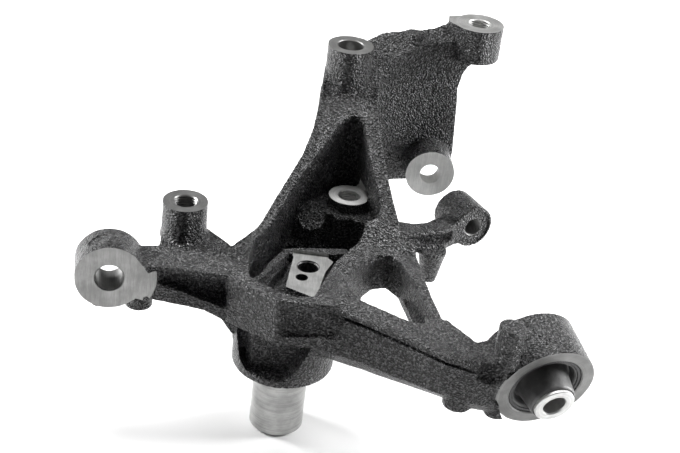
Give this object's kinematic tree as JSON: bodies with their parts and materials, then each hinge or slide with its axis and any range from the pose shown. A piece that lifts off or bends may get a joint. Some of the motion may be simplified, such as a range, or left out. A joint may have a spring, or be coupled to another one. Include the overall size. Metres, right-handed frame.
{
  "type": "steering knuckle",
  "caption": "Cast steering knuckle with a turned stub axle, open triangular frame, threaded bosses, cross-bolt eyes and a pressed-in rubber bush.",
  "frame": {"origin": "centre of the collar's outboard face, on the axis of the stub axle", "axes": "+Z inboard along the stub axle's axis, so the axle points along -Z; +X towards the rubber bush, square to the axle; +Y from the hub towards the crown and the curved wall"},
  "size_m": [0.2824, 0.218, 0.192],
  "materials": {
    "casting": "rough sand-cast skin under black paint, with bare milled and turned faces",
    "outer_sleeve": "dull phosphated steel",
    "rubber": "moulded, satin",
    "inner_sleeve": "bare turned end faces"
  },
  "bodies": {
    "root": {"knuckle_casting": "casting", "bush_outer_sleeve": "outer_sleeve", "bush_rubber": "rubber", "bush_inner_sleeve": "inner_sleeve"}
  },
  "joints": []
}
